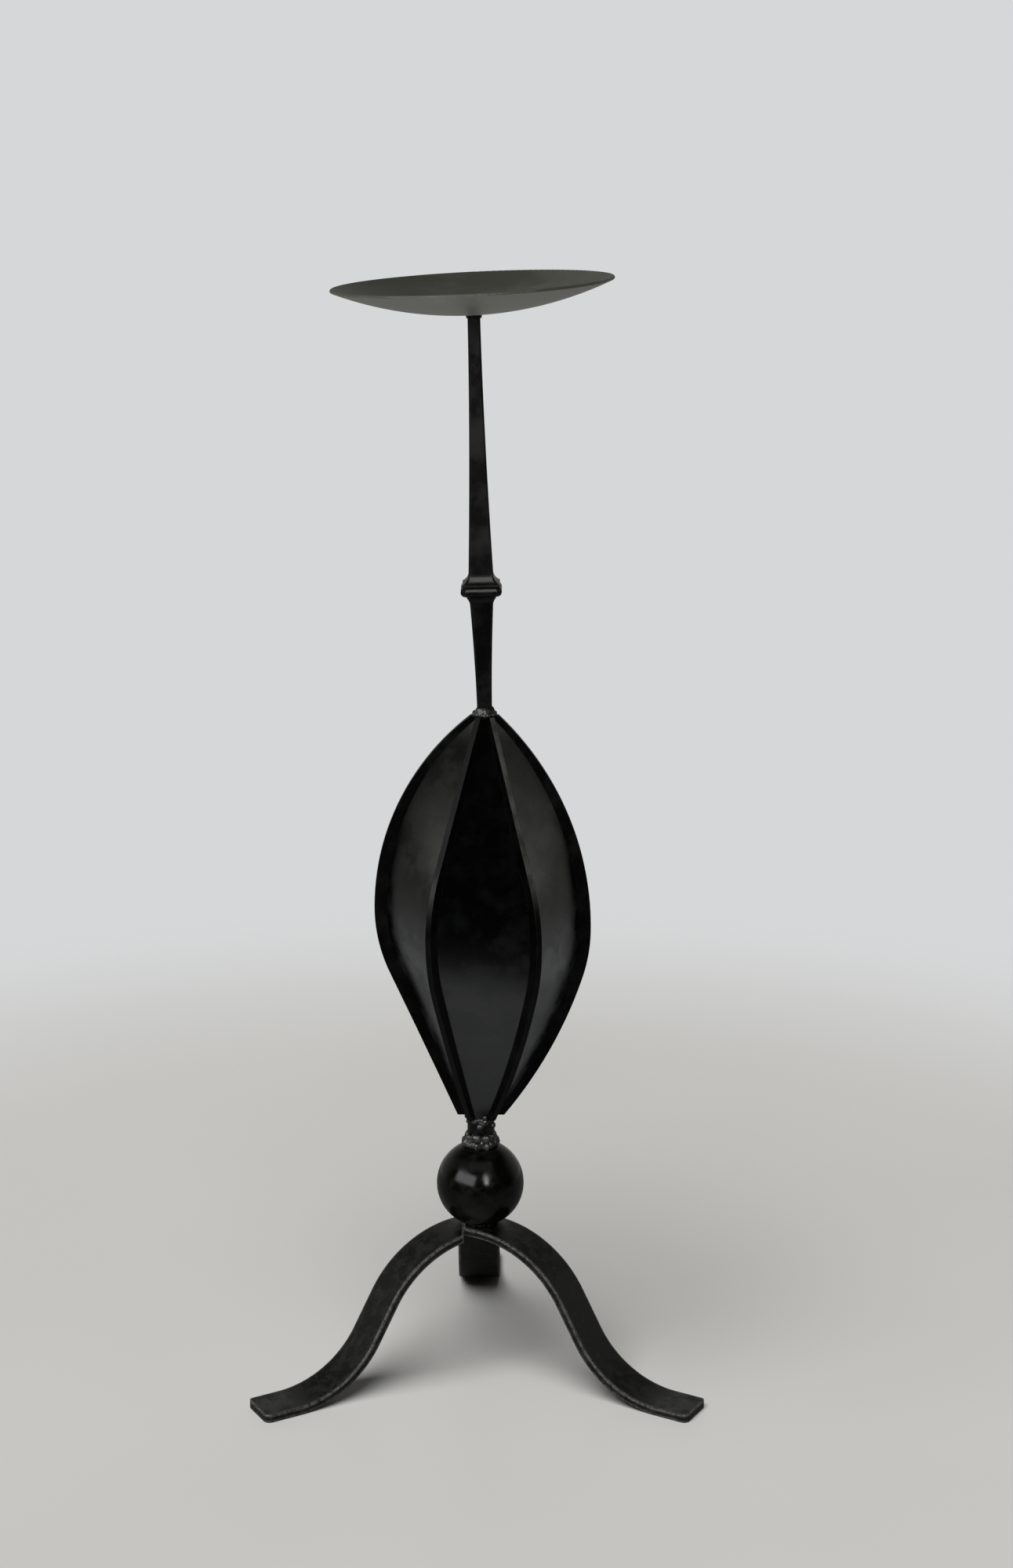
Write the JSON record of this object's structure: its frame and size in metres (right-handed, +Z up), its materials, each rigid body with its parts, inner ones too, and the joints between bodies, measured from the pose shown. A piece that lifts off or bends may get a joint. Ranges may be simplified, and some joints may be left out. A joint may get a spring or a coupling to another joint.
{
  "type": "candle stand",
  "caption": "Black iron floor candle stand: shallow drip pan on a tapered square stem with a collar, over a ribbed bulbous pod, a short neck, a ball and curved strap legs.",
  "frame": {"origin": "on the floor, under the middle of the ball", "axes": "+Z up from the floor to the pan, -Y towards the front panel of the pod, +X to the right of a viewer in front"},
  "size_m": [0.3276, 0.285, 0.8002],
  "materials": {
    "pan_sheet": "satin",
    "stem_bar": "satin",
    "pod_rib": "satin",
    "pod_sheet": "satin",
    "weld_bead": "satin",
    "neck_tube": "satin",
    "solid_ball": "satin",
    "leg_strap": "satin",
    "bare_bar": "matte"
  },
  "bodies": {
    "root": {"dish": "pan_sheet", "dish_weld": "weld_bead", "upper_stem": "stem_bar", "stem_collar": "stem_bar", "lower_stem": "stem_bar", "pod_top_weld": "weld_bead", "rib_1": "pod_rib", "rib_2": "pod_rib", "rib_3": "pod_rib", "rib_4": "pod_rib", "rib_5": "pod_rib", "rib_6": "pod_rib", "panel_1": "pod_sheet", "panel_2": "pod_sheet", "panel_3": "pod_sheet", "panel_4": "pod_sheet", "panel_5": "pod_sheet", "panel_6": "pod_sheet", "pod_spindle": "bare_bar", "pod_bottom_weld": "weld_bead", "neck": "neck_tube", "neck_weld": "weld_bead", "ball": "solid_ball", "leg_front_left": "leg_strap", "leg_front_right": "leg_strap", "leg_back": "leg_strap", "leg_weld": "weld_bead"}
  },
  "joints": []
}
